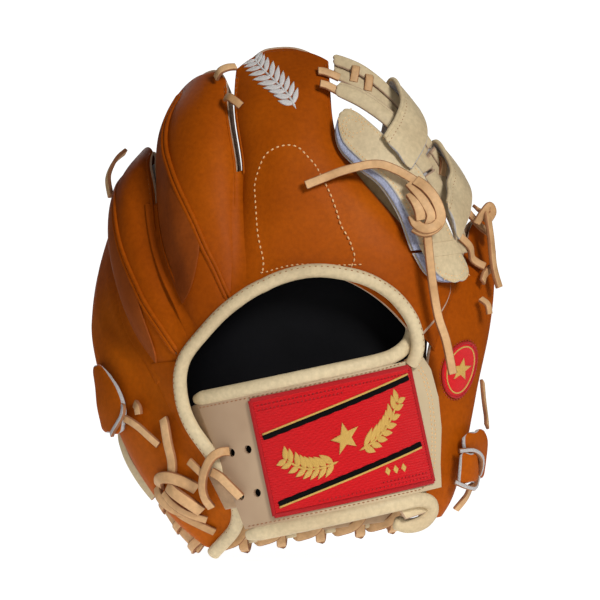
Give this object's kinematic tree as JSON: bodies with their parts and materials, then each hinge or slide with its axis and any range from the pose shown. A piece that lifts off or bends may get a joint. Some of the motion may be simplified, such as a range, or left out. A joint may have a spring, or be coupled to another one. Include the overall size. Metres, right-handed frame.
{
  "type": "baseball glove",
  "caption": "Left-hand leather baseball glove with padded finger stalls, bound hand opening, laced open web and wrist strap; thumb and little finger sides fold to close.",
  "frame": {"origin": "middle of the hand opening in the back of the glove, at the depth of the opening's rim", "axes": "+Z from the wrist to the fingertips, -Y out of the back of the glove, +Y out of the pocket towards the ball, +X from the little finger to the thumb"},
  "size_m": [0.2182, 0.1446, 0.27],
  "materials": {
    "tan_leather": "smooth oiled",
    "camel_leather": "smooth",
    "lace": "raw-edged lace",
    "felt": "felt",
    "black_lining": "soft matt",
    "patch_red": "embroidered",
    "emblem_thread": "embroidered"
  },
  "bodies": {
    "hand": {"palm_leather": "tan_leather", "palm_pad": "felt", "palm_lining": "black_lining", "index_front": "tan_leather", "middle_front": "tan_leather", "index_back": "tan_leather", "middle_back": "tan_leather", "index_pad": "felt", "middle_pad": "felt", "index_welts": "tan_leather", "middle_welts": "tan_leather", "index_emblem": "emblem_thread", "back_lining": "black_lining", "opening_binding": "camel_leather", "wrist_strap": "camel_leather", "strap_lining": "black_lining", "strap_top_binding": "camel_leather", "strap_bottom_binding": "camel_leather", "label_patch": "patch_red", "wrist_lace": "lace", "heel_lace": "lace", "fingertip_lace": "lace", "web_index_lace": "lace", "web_base_bar_upper": "camel_leather", "web_middle_bar_upper": "camel_leather", "web_top_bar_upper": "camel_leather", "web_index_post": "camel_leather", "web_lace_knot": "lace", "web_lace_tail_long": "lace", "web_lace_tail_cross": "lace"},
    "pinky_side": {"pinky_side_palm": "tan_leather", "ring_front": "tan_leather", "pinky_front": "tan_leather", "ring_back": "tan_leather", "pinky_back": "tan_leather", "ring_pad": "felt", "pinky_pad": "felt", "ring_welts": "tan_leather", "pinky_welts": "tan_leather", "pinky_stiffener": "felt", "pinky_loop": "tan_leather", "pinky_loop_lace": "lace", "pinky_heel_lace": "lace", "ring_lace_tail": "lace"},
    "thumb_side": {"thumb_front": "tan_leather", "thumb_back": "tan_leather", "thumb_welts": "tan_leather", "thumb_pad": "felt", "thumb_stiffener": "felt", "thumb_loop": "camel_leather", "thumb_loop_lace": "lace", "thumb_badge": "patch_red", "thumb_tip_lace": "lace", "web_base_bar_lower": "camel_leather", "web_middle_bar_lower": "camel_leather", "web_top_bar_lower": "camel_leather", "web_thumb_post": "camel_leather", "web_thumb_lace": "lace", "thumb_lace_tail": "lace"}
  },
  "joints": [
    {"name": "thumb_fold", "type": "hinge", "parent": "hand", "child": "thumb_side", "pos_m": [0.0565, 0.043, -0.101], "axis": [0.0447, 0.0372, 0.9983], "range_deg": [0, 20]},
    {"name": "pinky_fold", "type": "hinge", "parent": "hand", "child": "pinky_side", "pos_m": [-0.044, 0.042, -0.101], "axis": [0.0897, -0.0897, -0.9919], "range_deg": [0, 20]}
  ]
}
